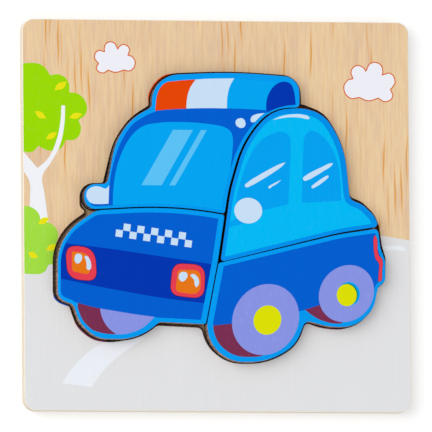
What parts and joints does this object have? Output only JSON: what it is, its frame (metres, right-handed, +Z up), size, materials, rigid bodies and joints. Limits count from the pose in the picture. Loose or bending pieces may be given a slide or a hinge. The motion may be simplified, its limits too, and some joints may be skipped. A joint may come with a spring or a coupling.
{
  "type": "wooden tray puzzle",
  "caption": "Square wooden tray puzzle: a laminated board with a car-shaped pocket that holds thick printed pieces, each lifting straight out.",
  "frame": {"origin": "centre of the tray's underside", "axes": "+Z up out of the tray's face, the way the pieces lift out; +Y towards the top of the picture; +X towards its right-hand side"},
  "size_m": [0.15, 0.15, 0.01],
  "materials": {
    "backing_wood": "bare sanded plywood",
    "frame_print": "sanded plywood, printed with a road scene, bare wood for the sky",
    "cab_print": "thick plywood, printed top, scorched saw-cut edge",
    "bonnet_print": "thick plywood, printed top, scorched saw-cut edge",
    "window_print": "thick plywood, printed top, scorched saw-cut edge",
    "side_print": "thick plywood, printed top, scorched saw-cut edge"
  },
  "bodies": {
    "tray": {"backing_board": "backing_wood", "frame_board": "frame_print"},
    "cab": {"cab_piece": "cab_print"},
    "bonnet": {"bonnet_piece": "bonnet_print"},
    "windows": {"window_piece": "window_print"},
    "body_side": {"side_piece": "side_print"}
  },
  "joints": [
    {"name": "cab_lift", "type": "slide", "parent": "tray", "child": "cab", "axis": [0, 0, 1], "range_m": [0, 0.03]},
    {"name": "bonnet_lift", "type": "slide", "parent": "tray", "child": "bonnet", "axis": [0, 0, 1], "range_m": [0, 0.03]},
    {"name": "window_lift", "type": "slide", "parent": "tray", "child": "windows", "axis": [0, 0, 1], "range_m": [0, 0.03]},
    {"name": "side_lift", "type": "slide", "parent": "tray", "child": "body_side", "axis": [0, 0, 1], "range_m": [0, 0.03]}
  ]
}
